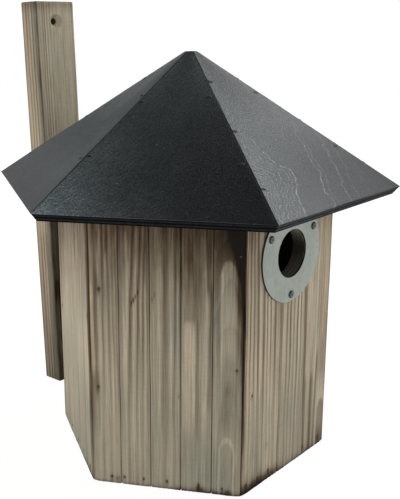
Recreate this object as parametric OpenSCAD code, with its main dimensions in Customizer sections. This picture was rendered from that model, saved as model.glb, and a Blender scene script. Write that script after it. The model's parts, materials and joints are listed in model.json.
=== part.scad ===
// Hexagonal nest box of nailed pine staves, with a six-sided plywood roof, a steel
// entrance plate, and a hanging batten that stands off the back wall behind the eaves.
// Millimetres, +Z up. The origin is the centre of the base, and the entrance faces -Y.

/* [Walls] */
// Outer width of one wall, from corner to corner
wall_side = 103; // [95:1:116]
// Thickness of the wall staves
wall_t = 9; // [7:0.5:18]
// Width of the three middle staves of a wall; its two corner staves take what is left
stave_w = 20.8; // [15:0.1:27]
// Sideways place of the seam between the two front boards
front_seam_x = -9.5; // [-20:0.5:20]
// Chamfer along the outer long edges of each stave
stave_arris = 0.6; // [0.2:0.1:1.5]
// Thickness of the floor
floor_t = 12; // [6:1:20]

/* [Entrance] */
// Diameter of the entrance hole
hole_d = 33; // [25:1:44]
// Height of the entrance hole's centre above the base
hole_z = 160; // [110:0.5:170]
// Sideways place of the entrance hole, from the middle of the front wall
hole_shift = -2; // [-6:0.5:6]
// Outer diameter of the entrance plate
plate_d = 67; // [64:1:78]
// Thickness of the entrance plate
plate_t = 1.5; // [1:0.5:4]
// Radius of the circle that the plate's screws stand on
screw_circle_r = 28.6; // [26:0.1:29.6]
// Shank diameter of the plate's screws
screw_d = 3; // [2:0.5:4]
// Length of a screw under its head
screw_l = 8; // [6:0.5:9.5]
// Diameter of a screw head
screw_head_d = 5.2; // [4.4:0.1:7.6]
// Height of a screw head above the plate
screw_head_h = 1.2; // [0.8:0.1:2.5]

/* [Roof] */
// Height of the eaves' upper edge above the base
eave_z = 199; // [190:1:215]
// Distance from the centre to an eave corner
eave_r = 147; // [138:1:160]
// Pitch of the roof
roof_pitch = 36.1; // [25:0.1:45]
// Thickness of the roof plates
roof_t = 7.5; // [5:0.5:12]
// Distance across the corners of the small flat at the peak
peak_flat_d = 8.6; // [4:0.2:20]

/* [Hanging batten] */
// Width of the batten
batten_w = 39; // [30:1:60]
// Thickness of the batten
batten_t = 19; // [12:1:30]
// Length of the batten
batten_l = 321; // [260:1:380]
// Distance from the base to the batten's lower end, along the batten
batten_rise = 4; // [3:1:30]
// Distance from the back eave to the batten behind it
batten_clear = 12; // [4:1:30]
// Backward lean of the batten
batten_lean = 2; // [0:0.5:4]
// Diameter of the screw hole near the batten's upper end
hang_hole_d = 5; // [3:0.5:8]
// Diameter of that hole's countersink, at the front face
hang_sink_d = 12; // [9:0.5:16]
// Distance from the batten's upper end to the screw hole
hang_hole_drop = 15.5; // [10:0.5:30]
// Width of the two spacer blocks between the back wall and the batten
spacer_w = 29; // [20:1:30]
// Height of the lower spacer's underside above the base
lower_spacer_z = 36; // [15:1:45]
// Length of the lower spacer
lower_spacer_l = 34; // [20:1:42]
// Length of the upper spacer
upper_spacer_l = 95; // [40:1:100]
// Distance from the eave's lower edge down to the upper spacer
upper_spacer_drop = 9.5; // [2:0.5:14]

/* [Hidden] */
$fn = 96;
// Faces in turn from the front, counter-clockwise from above
FACES = ["front", "front_right", "back_right", "back", "back_left", "front_left"];
// Number of the front wall's seam, after the seams 0 to 5 of a plain wall
FRONT_SEAM = 6;

// How far a cutting shape runs past the face that it cuts
cut_past = 1;
// Clearance round the screws in the entrance plate's holes
screw_clear = 0.25;
// Distance from the centre to the outer and to the inner faces of the walls
wall_out = wall_side * cos(30);
wall_in = wall_out - wall_t;
// Distance from the centre to the middle of an eave's upper edge
eave_a = eave_r * cos(30);
// Height at which the roof faces would meet if the peak weren't cut flat
peak_z = eave_z + eave_a * tan(roof_pitch);
peak_flat_a = peak_flat_d / 2 * cos(30);
eave_low_z = eave_z - roof_t * cos(roof_pitch);
upper_spacer_z = eave_low_z - upper_spacer_drop - upper_spacer_l;
// Where the batten's front plane meets the plane of the base
batten_y = eave_a + batten_clear - eave_z * tan(batten_lean);

PINE = [0.64, 0.58, 0.47];
BLACK_PLY = [0.17, 0.17, 0.17];
ZINC = [0.60, 0.62, 0.60];
STEEL = [0.45, 0.45, 0.44];

// Height of the roof's upper and lower surface at distance a from the centre
function roof_top(a) = peak_z - a * tan(roof_pitch);
function roof_under(a) = roof_top(a) - roof_t / cos(roof_pitch);

// Distance from the centre to the batten's front face at height z
function batten_front(z) = batten_y + z * tan(batten_lean);

// Sideways place of seam n of a wall at distance a from the centre: seams 0 and 5
// are the mitred corners, and 1 to 4 lie between the staves of a plain wall
function seam(n, a) =
    n == 0 ? -a * tan(30) :
    n == 5 ? a * tan(30) :
    n == FRONT_SEAM ? front_seam_x :
    (n - 2.5) * stave_w;

// Turns a shape that is made for the front face onto face i
module on_face(i) {
    rotate([0, 0, 60 * i]) children();
}

// Extrudes an outline in the Y-Z plane along X
module across(width) {
    rotate([90, 0, 90]) linear_extrude(width, center = true) children();
}

// Places a shape that stands on Z onto the front face, at the entrance
module at_entrance() {
    translate([hole_shift, -wall_out, hole_z]) rotate([90, 0, 0]) children();
}

// Puts a shape at screw k of the plate; screw 1 is the lowest
module at_screw(k) {
    rotate([0, 0, -90 + 120 * (k - 1)]) translate([screw_circle_r, 0, 0]) children();
}

// Wall timber of the front face between two seams, its top cut to the roof's underside
module timber(seam_1, seam_2) {
    arris_a = wall_out - stave_arris;
    intersection() {
        linear_extrude(peak_z)
            polygon([
                [seam(seam_1, arris_a), -arris_a],
                [seam(seam_1, wall_out) + stave_arris, -wall_out],
                [seam(seam_2, wall_out) - stave_arris, -wall_out],
                [seam(seam_2, arris_a), -arris_a],
                [seam(seam_2, wall_in), -wall_in],
                [seam(seam_1, wall_in), -wall_in]
            ]);
        across(2 * wall_side)
            polygon([
                [-wall_out, 0],
                [-wall_in, 0],
                [-wall_in, roof_under(wall_in)],
                [-wall_out, roof_under(wall_out)]
            ]);
    }
}

// One of the five staves of a plain wall
module stave(i, k) {
    color(PINE) on_face(i) timber(k - 1, k);
}

// A board of the front wall, with the entrance hole and the screws' pilot holes
module front_board(seam_1, seam_2) {
    color(PINE)
        difference() {
            timber(seam_1, seam_2);
            at_entrance() {
                translate([0, 0, -wall_t - cut_past])
                    cylinder(d = hole_d, h = wall_t + 2 * cut_past);
                for (k = [1:3])
                    at_screw(k)
                        translate([0, 0, plate_t - screw_l])
                            cylinder(d = screw_d, h = screw_l - plate_t + cut_past);
            }
        }
}

module front_board_left() {
    front_board(0, FRONT_SEAM);
}

module front_board_right() {
    front_board(FRONT_SEAM, 5);
}

// Six-cornered floor let in between the walls
module floor_board() {
    color(PINE) cylinder(r = wall_in / cos(30), h = floor_t, $fn = 6);
}

// One mitred roof plate, square-edged at the eave and cut flat at the peak
module roof_plate(i) {
    lip_a = eave_a - roof_t * sin(roof_pitch);
    color(BLACK_PLY)
        on_face(i)
            intersection() {
                linear_extrude(peak_z)
                    polygon([[0, 0], [-eave_r / 2, -eave_a], [eave_r / 2, -eave_a]]);
                across(2 * eave_r)
                    polygon([
                        [-eave_a, eave_z],
                        [-lip_a, eave_low_z],
                        [cut_past, roof_under(-cut_past)],
                        [cut_past, roof_top(peak_flat_a)],
                        [-peak_flat_a, roof_top(peak_flat_a)]
                    ]);
            }
}

// Round steel plate that keeps the entrance from being widened
module entrance_plate() {
    color(ZINC)
        at_entrance()
            difference() {
                cylinder(d = plate_d, h = plate_t);
                translate([0, 0, -cut_past]) {
                    cylinder(d = hole_d, h = plate_t + 2 * cut_past);
                    for (k = [1:3])
                        at_screw(k)
                            cylinder(d = screw_d + 2 * screw_clear, h = plate_t + 2 * cut_past);
                }
            }
}

// Screw with a low domed head that seats on the plate
module plate_screw(k) {
    shank_r = screw_d / 2;
    head_r = screw_head_d / 2;
    color(STEEL)
        at_entrance()
            at_screw(k)
                translate([0, 0, plate_t])
                    rotate_extrude()
                        polygon([
                            [0, -screw_l],
                            [shank_r, -screw_l],
                            [shank_r, 0],
                            [head_r, 0],
                            [head_r, 0.3 * screw_head_h],
                            [0.8 * head_r, 0.8 * screw_head_h],
                            [0.45 * head_r, screw_head_h],
                            [0, screw_head_h]
                        ]);
}

// Block between the back wall and the leaning batten
module spacer(low_z, length) {
    top_z = low_z + length;
    color(PINE)
        across(spacer_w)
            polygon([
                [wall_out, low_z],
                [batten_front(low_z), low_z],
                [batten_front(top_z), top_z],
                [wall_out, top_z]
            ]);
}

module lower_spacer() {
    spacer(lower_spacer_z, lower_spacer_l);
}

module upper_spacer() {
    spacer(upper_spacer_z, upper_spacer_l);
}

// Batten with a countersunk hole for the screw that the box hangs on
module hanging_batten() {
    sink_h = (hang_sink_d - hang_hole_d) / 2;
    color(PINE)
        translate([0, batten_y, 0])
            rotate([-batten_lean, 0, 0])
                translate([0, 0, batten_rise])
                    difference() {
                        translate([-batten_w / 2, 0, 0]) cube([batten_w, batten_t, batten_l]);
                        translate([0, 0, batten_l - hang_hole_drop])
                            rotate([-90, 0, 0]) {
                                translate([0, 0, -cut_past])
                                    cylinder(d = hang_hole_d, h = batten_t + 2 * cut_past);
                                translate([0, 0, -cut_past])
                                    cylinder(
                                        d1 = hang_sink_d + 2 * cut_past,
                                        d2 = hang_hole_d,
                                        h = sink_h + cut_past
                                    );
                            }
                    }
}

for (i = [1:5]) for (k = [1:5])
    stave(i, k);
front_board_left();
front_board_right();
floor_board();  // floor
for (i = [0:5])
    roof_plate(i);
entrance_plate();
for (k = [1:3])
    plate_screw(k);
lower_spacer();
upper_spacer();
hanging_batten();
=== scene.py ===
# A hexagonal nest box of singed and brushed pine staves, with a roof of black-stained
# plywood, a galvanised plate round its entrance and a hanging batten behind it.
import json
import math

import bpy
import numpy as np
from mathutils import Matrix, Vector


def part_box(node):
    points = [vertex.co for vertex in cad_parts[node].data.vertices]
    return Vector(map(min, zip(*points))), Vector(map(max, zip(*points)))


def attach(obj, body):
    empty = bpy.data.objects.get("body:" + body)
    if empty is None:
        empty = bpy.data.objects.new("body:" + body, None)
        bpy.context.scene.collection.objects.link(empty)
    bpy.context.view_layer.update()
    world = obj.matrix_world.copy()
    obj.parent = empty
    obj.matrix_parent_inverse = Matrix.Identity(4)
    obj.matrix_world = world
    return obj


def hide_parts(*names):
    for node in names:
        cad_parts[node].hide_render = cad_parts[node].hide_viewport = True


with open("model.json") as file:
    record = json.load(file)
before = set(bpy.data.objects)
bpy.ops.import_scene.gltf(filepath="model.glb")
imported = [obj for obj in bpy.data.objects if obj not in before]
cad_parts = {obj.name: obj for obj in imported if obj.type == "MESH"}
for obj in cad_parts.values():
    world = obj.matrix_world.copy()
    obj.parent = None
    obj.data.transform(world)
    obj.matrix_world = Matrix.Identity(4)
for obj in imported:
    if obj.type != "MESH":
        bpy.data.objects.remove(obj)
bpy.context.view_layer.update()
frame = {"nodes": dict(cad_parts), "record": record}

# ---------------------------------------------------------------- camera
# A long lens a little above the eaves, to the left of the entrance. Its frame is shifted
# so that the box fills it.
def direction(azimuth, elevation):
    """Unit vector at an azimuth from -Y towards +X and an elevation, both in degrees."""
    turn, rise = math.radians(azimuth), math.radians(elevation)
    return Vector((math.sin(turn) * math.cos(rise), -math.cos(turn) * math.cos(rise), math.sin(rise)))


camera_data = bpy.data.cameras.new("camera")
camera_data.sensor_width = 36
camera_data.lens = 58.2
camera_data.shift_x = 0.060
camera_data.shift_y = -0.039
camera = bpy.data.objects.new("camera", camera_data)
bpy.context.scene.collection.objects.link(camera)
camera_roll = math.radians(-0.15)
camera_at = (-0.4388, -0.3736, 0.3098)
back = direction(-48.1, 14.57)
level_right = Vector((0, 0, 1)).cross(back).normalized()
right = level_right * math.cos(camera_roll) + back.cross(level_right) * math.sin(camera_roll)
axes = Matrix((right, back.cross(right), back)).transposed()
camera.matrix_world = Matrix.Translation(camera_at) @ axes.to_4x4()
bpy.context.scene.camera = camera

# ---------------------------------------------------------------- wall staves
# Narrow pine staves, nailed upright to the floor, five to a wall. The timber was singed
# and brushed, so the soft wood between the rings is worn back, and the hard rings and the
# edges are dark. The staves butt against each other and are mitred at the corners.
FACES = ["front", "front_right", "back_right", "back", "back_left", "front_left"]
TAN30 = math.tan(math.radians(30))
MM = 0.001


def corners(node):
    """The different corner points of a CAD node, as rows of x, y, z."""
    mesh = frame["nodes"][node].data
    points = np.empty(len(mesh.vertices) * 3)
    mesh.vertices.foreach_get("co", points)
    return np.unique(points.reshape(-1, 3).round(7), axis=0)


stave_points = corners("back_stave_3")
stave_w = np.ptp(stave_points[:, 0])
wall_in, wall_out = stave_points[:, 1].min(), stave_points[:, 1].max()
roof_points = corners("front_roof_plate")
eave_a = -roof_points[:, 1].min()
eave_z = roof_points[roof_points[:, 1] < 1e-6 - eave_a, 2].max()
eave_low_z = roof_points[:, 2].min()
lip_a = -roof_points[roof_points[:, 2] < eave_low_z + 1e-6, 1].min()
peak_z = roof_points[:, 2].max()
peak_flat_a = -roof_points[roof_points[:, 2] > peak_z - 1e-6, 1].min()
pitch = math.atan((peak_z - eave_z) / (eave_a - peak_flat_a))


def roof_under(a):
    """Height of the roof's underside at distance a from the centre: a straight slope."""
    return eave_low_z + (lip_a - a) * math.tan(pitch)


def ramp(t):
    """An S-curve from 0 to 1 as t goes from 0 to 1: three t squared less two t cubed."""
    t = np.clip(t, 0, 1)
    return t * t * (3 - 2 * t)


def slow_wave(t, length, seed):
    """A smooth wander of about +-1 along t: three sines of unlike length and phase."""
    draw = np.random.default_rng(seed)
    total = 0 * t
    for share, times in ((0.55, 1.0), (0.3, 2.3), (0.15, 4.9)):
        total = total + share * np.sin(t / length * times * 2 * math.pi + draw.uniform(0, 6.28))
    return total


def blotch(p, q, size, seed):
    """A smooth random field of about +-1 on the plane p, q: eight plane waves that are
    near size in length and run in random directions, added up."""
    draw = np.random.default_rng(seed)
    total = 0 * (p + q)
    for _ in range(8):
        turn, phase = draw.uniform(0, 6.28, 2)
        number = 2 * math.pi / (size * draw.uniform(0.7, 1.6))
        total = total + np.sin(number * (math.cos(turn) * p + math.sin(turn) * q) + phase)
    return total / 3.2


# How a board grew is a dict in millimetres: where the tree's pith lies from the board's
# face (pith_u along it, pith_d behind it), how the trunk leans, the rings' width, and how
# far the grain sways. How it looks is in lists of light, dark and tan bands and of
# tongues; deep is how light its wood is at the base, at 90 mm and at 180 mm up.
def some_board(seed, **chosen):
    """A board drawn at random from the usual ranges, except for what is chosen."""
    draw = np.random.default_rng(seed)
    board = {
        "seed": seed * 10,
        "pith_u": draw.choice([-1, 1]) * draw.uniform(70, 160),
        "pith_d": draw.uniform(14, 60),
        "lean_u": draw.uniform(-0.012, 0.012),
        "lean_d": draw.uniform(-0.05, 0.05),
        "ring_w": draw.uniform(1.9, 3.2),
        "sway": draw.uniform(0.3, 0.7),
        "bend": draw.uniform(1, 2),
        "warm": draw.uniform(-0.3, 0.5),
        "deep": (0.85, 0.95, 0.9),
        "lines": 0.3, "fade": 0.4, "relief": 1.0,
        "light": [], "dark": [], "tan": [], "tongues": [],
    }
    board.update(chosen)
    return board


mid_z = 0.1


def sway(z, board):
    """Sideways shift of the grain at height z: a slow wander as the trunk grew."""
    return board["sway"] * MM * slow_wave(z, 0.19, board["seed"])


def ring_place(u, a, z, board):
    """Distance of a point from the pith, counted in growth rings: the pith is a leaning
    line, and the rings' width swells and shrinks slowly with the distance."""
    seed = board["seed"]
    along = u - sway(z, board) - board["pith_u"] * MM - board["lean_u"] * (z - mid_z)
    behind = board["pith_d"] * MM + board["lean_d"] * (z - mid_z) + wall_out - a
    width = board["ring_w"] * MM
    far = np.hypot(along, behind) + 0.18 * width * blotch(u * 3, z, 0.07, seed + 2)
    return far / width + 0.4 * slow_wave(far, 5.3 * width, seed + 3) + 90


def late_wood(ring):
    """Hard dark share of a growth ring: rises slowly through the ring, then stops short."""
    part = ring - np.floor(ring)
    return ramp((part - 0.25) / 0.6) * ramp((1 - part) / 0.12)


def bands_at(u, z, board, kind):
    """Strength of one kind of band, light, dark or tan. A band is a strip along the grain:
    its places u at the base and at 200 mm up, half its width, its strength and, where it
    doesn't run the whole way, the heights of its ends. It curves with the board and is
    fainter near the base. Its flanks fall off as a bell, to about a quarter at half its
    width; as a ring ends in a sharp step from dark to light, the dark's left flank and
    the light's right one are steeper."""
    steep = {"light": 0.5, "dark": -0.5, "tan": 0}[kind]
    total = 0 * (u + z)
    u = (u - sway(z, board)) / MM
    h = np.clip(z / MM, 0, None)
    for u_foot, u_head, half, strength, *span in board[kind]:
        foot, head = span or (-40, 400)
        aside = (u - u_foot - (u_head - u_foot) * (h / 200) ** board["bend"]) / half
        aside = aside * (1 + steep * np.sign(aside))
        ends = ramp((h - foot) / 14 + 0.5) * ramp((head - h) / 14 + 0.5)
        total = total + strength * ends * np.exp(-1.315 * np.abs(aside) ** 2.6)
    return total * (board["fade"] + (1 - board["fade"]) * ramp((h - 25) / 100))


def tongues_at(u, z, board):
    """Strength of the tongues, the arches where the saw cut through a ring: each has its
    middle u, its top, half its width, its foot, its strength and its roundness. Its top is
    an ellipse that is the roundness times as high as it is half wide."""
    total = 0 * (u + z)
    u = (u - 0.6 * sway(z, board)) / MM
    h = z / MM
    for middle, top, half, foot, strength, roundness in board["tongues"]:
        far = np.abs(u - middle + 0.35 * slow_wave(h, 31, board["seed"] + 8))
        crown = roundness * (half - np.sqrt(np.clip(half**2 - far**2, 0, None)))
        inside = ramp((half - far) / 1.3 + 0.5) * ramp((top - crown - h) / 2.6 + 0.5)
        total = total + strength * inside * ramp((h - foot) / 30 + 0.5)
    return total


def strokes_at(u, z, strokes):
    """Sum of soft oval spots. A stroke is its place u and z, half its width and height,
    and its strength; it falls off as a bell."""
    total = 0 * (u + z)
    for stroke_u, stroke_z, half_u, half_z, strength in strokes:
        across = (u / MM - stroke_u) / half_u
        along = (z / MM - stroke_z) / half_z
        total = total + strength * np.exp(-(across**2) - along**2)
    return total


def put_mesh(name, points, quads, ends=()):
    """A new piece from its points, its four-cornered faces and any many-cornered ends."""
    mesh = bpy.data.meshes.new(name)
    loops = np.concatenate([quads.ravel(), *ends]).astype(np.int32)
    sizes = np.concatenate([np.full(len(quads), 4), [len(end) for end in ends]])
    starts = np.concatenate([[0], np.cumsum(sizes)[:-1]]).astype(np.int32)
    mesh.vertices.add(points.size // 3)
    mesh.vertices.foreach_set("co", points.astype(np.float32).ravel())
    mesh.loops.add(len(loops))
    mesh.loops.foreach_set("vertex_index", loops)
    mesh.polygons.add(len(starts))
    mesh.polygons.foreach_set("loop_start", starts)
    mesh.update(calc_edges=True)
    piece = bpy.data.objects.new(name, mesh)
    bpy.context.scene.collection.objects.link(piece)
    return piece


def sleeve_faces(rows, cols, ring=False):
    """Faces of a grid whose columns close on themselves, and its two end loops; a ring's
    rows close on themselves too."""
    at = np.arange(rows * cols).reshape(rows, cols)
    if ring:
        at = np.concatenate([at, at[:1]])
    there = np.roll(at, -1, axis=1)
    quads = np.stack([at[:-1], there[:-1], there[1:], at[1:]], axis=-1).reshape(-1, 4)
    return quads, () if ring else (at[0, ::-1], at[-1])


def put_sleeve(name, grid, ring=False):
    """A new piece from a grid of points whose columns close on themselves."""
    return put_mesh(name, grid, *sleeve_faces(*grid.shape[:2], ring))


def smooth_below(piece, angle):
    """Smooth shading everywhere but across edges sharper than the angle in degrees."""
    mesh = piece.data
    mesh.polygons.foreach_set("use_smooth", np.ones(len(mesh.polygons), bool))
    mesh.set_sharp_from_angle(angle=math.radians(angle))


def set_field(piece, name, values):
    """Keeps one number per point on the piece, for its material to read."""
    field = piece.data.attributes.new(name, "FLOAT", "POINT")
    field.data.foreach_set("value", np.asarray(values, np.float32).ravel())


def read_points(piece):
    """The piece's points as an array of x, y, z."""
    points = np.empty(len(piece.data.vertices) * 3)
    piece.data.vertices.foreach_get("co", points)
    return points.reshape(-1, 3)


def turn_to_face(points, face):
    """Points made for the front face, turned about Z onto face number face."""
    angle = math.radians(60 * face)
    x, y, z = np.moveaxis(points, -1, 0)
    across = x * math.cos(angle) - y * math.sin(angle)
    return np.stack([across, x * math.sin(angle) + y * math.cos(angle), z], axis=-1)


seam_gap = 0.3 * MM
face_step = 0.45 * MM
row_step = 1.7 * MM
arris_r = 0.9 * MM
soft_wood_worn = 0.22 * MM
face_waves = 0.1 * MM
bottom_r = 0.3 * MM
corner_r = 1.4 * MM
staves_n = 5
front_seam = corners("front_board_left")[:, 0].max()


def edge_at(n, a, hand):
    """Sideways place of a timber's edge at distance a from the centre: half a gap from seam
    n, on its right where hand is 1, on its left where it is -1. Seams 0 and 5 are the
    mitres, 6 is the front wall's seam, and 1 to 4 lie between the staves."""
    places = {0: -a * TAN30, 5: a * TAN30, 6: front_seam + 0 * a}
    return places.get(n, (n - 2.5) * stave_w + 0 * a) + hand * seam_gap / 2


def raise_timber(name, face, first, last, board):
    """Wall timber between two seams. Its outline runs across the outer face, round the
    small edge curves, in along the joints and back across the inner face; it is carried
    from the base up to the roof's underside. The outer face is worn back between the
    rings, and the bottom and the box's corners are rounded off."""
    a_edge = wall_out - arris_r
    side_a = np.linspace(a_edge, wall_in, 5)
    start, stop = edge_at(first, side_a, 1), edge_at(last, side_a, -1)
    left, right = edge_at(first, wall_out, 1) + arris_r, edge_at(last, wall_out, -1) - arris_r
    columns = int((right - left + 2 * arris_r) / face_step)
    turn = np.linspace(0, math.pi / 2, 5)
    u = np.concatenate([
        left - (left - start[0]) * np.sin(turn[:0:-1]), np.linspace(left, right, columns),
        right + (stop[0] - right) * np.sin(turn[1:]), stop[1:],
        np.linspace(stop[-1], start[-1], 6)[1:-1], start[:0:-1],
    ])
    curve_a = wall_out - arris_r * (1 - np.cos(turn[1:]))
    a = np.concatenate([
        curve_a[::-1], np.full(columns, wall_out), curve_a,
        side_a[1:], np.full(4, wall_in), side_a[:0:-1],
    ])
    outer = a > a_edge - 1e-6
    crown_z = roof_under(wall_out)
    foot_z = np.array([0, 0.12, 0.35, 0.7, 1.1, 1.7, 2.5, 3.5]) * MM
    t = np.concatenate([foot_z, np.arange(5 * MM, crown_z - MM, row_step), [crown_z]]) / crown_z
    z = t[:, None] * roof_under(a)
    u, a = u + 0 * z, a + 0 * z
    worn = soft_wood_worn * board["relief"] * (1 - late_wood(ring_place(u, a, z, board)))
    worn = worn + face_waves * (1 + blotch(u, z * 0.3, 0.014, board["seed"] + 5))
    near_corner = np.exp(-(((np.abs(u) - wall_out * TAN30) / (3 * MM)) ** 2))
    round_r = bottom_r + corner_r * near_corner
    worn = worn + round_r - np.sqrt(round_r**2 - np.clip(round_r - z, 0, None) ** 2)
    a = a - outer * worn
    reach = a * TAN30 - seam_gap / 2
    return put_sleeve(name, turn_to_face(np.stack([np.clip(u, -reach, reach), -a, z], axis=-1), face))


def dress_timber(piece, face, board, flame_and_shade, bored=False, bore_lightness=1):
    """Writes what the material needs at each point, worked out from where the point lies
    on its face: the ring, how plain the lines are, the bands, the warmth, the depth of
    tone and the char with the painted shade among its strokes, and a dark line along the
    foot that is part char, part painted shade. Where it is bored the wood is plain and
    grey, and the last argument sets how light it is."""
    u, y, z = turn_to_face(read_points(piece), -face).T
    set_field(piece, "ring", ring_place(u, -y, z, board))
    light, dark, tan = (bands_at(u, z, board, kind) for kind in ("light", "dark", "tan"))
    tongues = tongues_at(u, z, board)
    warm = board["warm"] + (z - 0.09) / 0.2 + 0.4 * blotch(u * 2, z, 0.07, board["seed"] + 6)
    spared = np.clip(tongues + tan, 0, 1)
    # The strokes are char with some painted shade; a dark line along the foot, part char and part painted
    # shade where the bottom faces the floor, is added.
    scorch_and_shade = strokes_at(u, z, flame_and_shade) * (1 - 0.85 * spared) + 0.3 * np.exp(-((z / (1.5 * MM)) ** 2))
    for name, values, in_bore in (
        ("lines", board["lines"] * (0.4 + 0.6 * ramp(z / 0.15)), 0),
        ("light", light + tongues + 0.12 * blotch(u * 4, z, 0.09, board["seed"] + 7), 0),
        ("dark", dark, 0),
        ("tan", tan, 0),
        ("warm", warm, -0.8),
        ("singe_and_shade", np.clip(scorch_and_shade, 0, 1.2), 0),
        ("deep", np.interp(z / MM, (0, 90, 180), board["deep"]), 0.4 * bore_lightness),
    ):
        set_field(piece, name, np.where(bored, in_bore, values))
    smooth_below(piece, 40)


class Finish:
    """A material under construction: each call adds one node and gives its output."""

    def __init__(self, name):
        self.material = bpy.data.materials.new(name)
        self.material.use_nodes = True
        self.tree = self.material.node_tree
        self.shader = self.tree.nodes["Principled BSDF"]

    def feed(self, socket, source):
        """Links the socket to an output, or sets it to a plain value."""
        if isinstance(source, bpy.types.NodeSocket):
            self.tree.links.new(source, socket)
        else:
            socket.default_value = source

    def add(self, kind, inputs, out=0, **settings):
        """Any node, with its inputs by name or number and its settings."""
        made = self.tree.nodes.new(kind)
        for key, value in settings.items():
            setattr(made, key, value)
        for socket, source in inputs.items():
            self.feed(made.inputs[socket], source)
        return made.outputs[out]

    def field(self, name):
        """A number kept on the points."""
        return self.add("ShaderNodeAttribute", {}, "Fac", attribute_name=name)

    def math(self, operation, first, second=0.0):
        return self.add("ShaderNodeMath", {0: first, 1: second}, operation=operation)

    def times(self, first, second):
        return self.math("MULTIPLY", first, second)

    def grade(self, value, low, high, to_low=0.0, to_high=1.0):
        """Turns low to high into to_low to to_high, and holds it there beyond them."""
        inputs = {"Value": value, "From Min": low, "From Max": high, "To Min": to_low, "To Max": to_high}
        return self.add("ShaderNodeMapRange", inputs)

    def blend(self, share, first, second, mode="MIX"):
        """Mixes two colours; Mix's colour sockets are its sixth and seventh."""
        inputs = {0: share, 6: first, 7: second}
        return self.add("ShaderNodeMix", inputs, 2, data_type="RGBA", blend_type=mode)

    def shade(self, colour, value):
        """Multiplies a colour by one number."""
        grey = self.add("ShaderNodeCombineXYZ", {0: value, 1: value, 2: value})
        return self.blend(1.0, colour, grey, "MULTIPLY")

    def place(self, scale, vector=None):
        """Object coordinates, or another vector, stretched by the scale."""
        if vector is None:
            vector = self.add("ShaderNodeTexCoord", {}, "Object")
        return self.add("ShaderNodeMapping", {"Vector": vector, "Scale": scale})

    def noise(self, scale, detail=3.0, rough=0.5, vector=None):
        place = self.place(scale, vector)
        inputs = {"Vector": place, "Scale": 1.0, "Detail": detail, "Roughness": rough}
        return self.add("ShaderNodeTexNoise", inputs)

    def set(self, socket, source):
        self.feed(self.shader.inputs[socket], source)

    def bump(self, height, distance, strength=1.0):
        inputs = {"Height": height, "Distance": distance, "Strength": strength}
        self.set("Normal", self.add("ShaderNodeBump", inputs))


def pine_finish(name, warm_wood, green_wood):
    """Brushed and singed pine. Each ring darkens slowly to its hard edge and has its own
    depth; fine fibres run up the timber, and faint saw marks across it; the bands and
    tongues are laid over that; mildew greys the cool parts; and the char, with the painted
    shade that shares its field, browns the wood and then blackens it, raggedly at its limits."""
    f = Finish(name)
    ring, lines, light, dark = map(f.field, ("ring", "lines", "light", "dark"))
    tan, warm, singe_and_shade, deep = map(f.field, ("tan", "warm", "singe_and_shade", "deep"))
    part = f.math("FRACT", ring)
    own = f.add("ShaderNodeTexWhiteNoise", {"W": f.math("FLOOR", ring)}, "Value", noise_dimensions="1D")
    late = f.times(f.math("POWER", f.grade(part, 0.22, 0.86), 1.5), f.grade(part, 1.0, 0.88))
    late = f.times(late, f.times(lines, f.grade(own, 0, 1, 0.3, 1.15)))
    fibres = f.noise((1100, 1100, 26), 4, 0.65)
    streaks = f.noise((330, 330, 6), 3, 0.6)
    tone = f.blend(f.grade(warm, -0.8, 0.9), green_wood, warm_wood)
    for share, colour in (
        (f.grade(streaks, 0.5, 0.8, 0, 0.5), (0.22, 0.175, 0.12, 1)),
        (f.grade(light, 0, 1.25), (0.58, 0.50, 0.375, 1)),
        (f.grade(light, 0, -1, 0, 0.8), (0.17, 0.14, 0.105, 1)),
        (late, (0.17, 0.125, 0.08, 1)),
        (f.grade(dark, 0, 1, 0, 0.9), (0.15, 0.115, 0.076, 1)),
        (f.grade(tan, 0, 1, 0, 0.95), (0.49, 0.38, 0.255, 1)),
    ):
        tone = f.blend(share, tone, colour)
    tone = f.shade(tone, f.times(f.grade(fibres, 0.3, 0.7, 0.80, 1.26), deep))
    marks = f.noise((110, 110, 700), 3, 0.7)
    tone = f.shade(tone, f.grade(marks, 0.35, 0.65, 0.965, 1.035))
    patches = f.grade(f.noise((42, 42, 13), 3, 0.6), 0.5, 0.7, 0, 0.7)
    mildew = f.blend(1.0, tone, (0.84, 0.98, 1.08, 1), "MULTIPLY")
    tone = f.blend(f.times(patches, f.grade(warm, 0.3, -0.5)), tone, mildew)
    ragged = f.grade(f.noise((320, 320, 40), 4, 0.6), 0.3, 0.7, -0.14, 0.14)
    # The char, and the painted shade on the same field, brown the wood and then blacken it.
    burn_and_shade = f.math("ADD", singe_and_shade, f.times(ragged, f.grade(singe_and_shade, 0, 0.3)))
    burn_and_shade = f.math("ADD", burn_and_shade, f.times(f.times(late, 0.3), singe_and_shade))
    tone = f.blend(f.grade(burn_and_shade, 0.0, 0.6), tone, f.blend(1.0, tone, (0.26, 0.205, 0.16, 1), "MULTIPLY"))
    tone = f.blend(f.grade(burn_and_shade, 0.55, 1.1), tone, (0.011, 0.008, 0.006, 1))
    f.set("Base Color", tone)
    f.set("Roughness", f.grade(fibres, 0.3, 0.7, 0.8, 0.64))
    f.set("Specular IOR Level", 0.08)
    f.bump(f.math("ADD", f.times(fibres, 0.5), f.times(late, 0.5)), 0.25 * MM, 0.5)
    return f.material


wall_pine = pine_finish("singed_pine", (0.42, 0.352, 0.256, 1), (0.302, 0.277, 0.204, 1))


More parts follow.
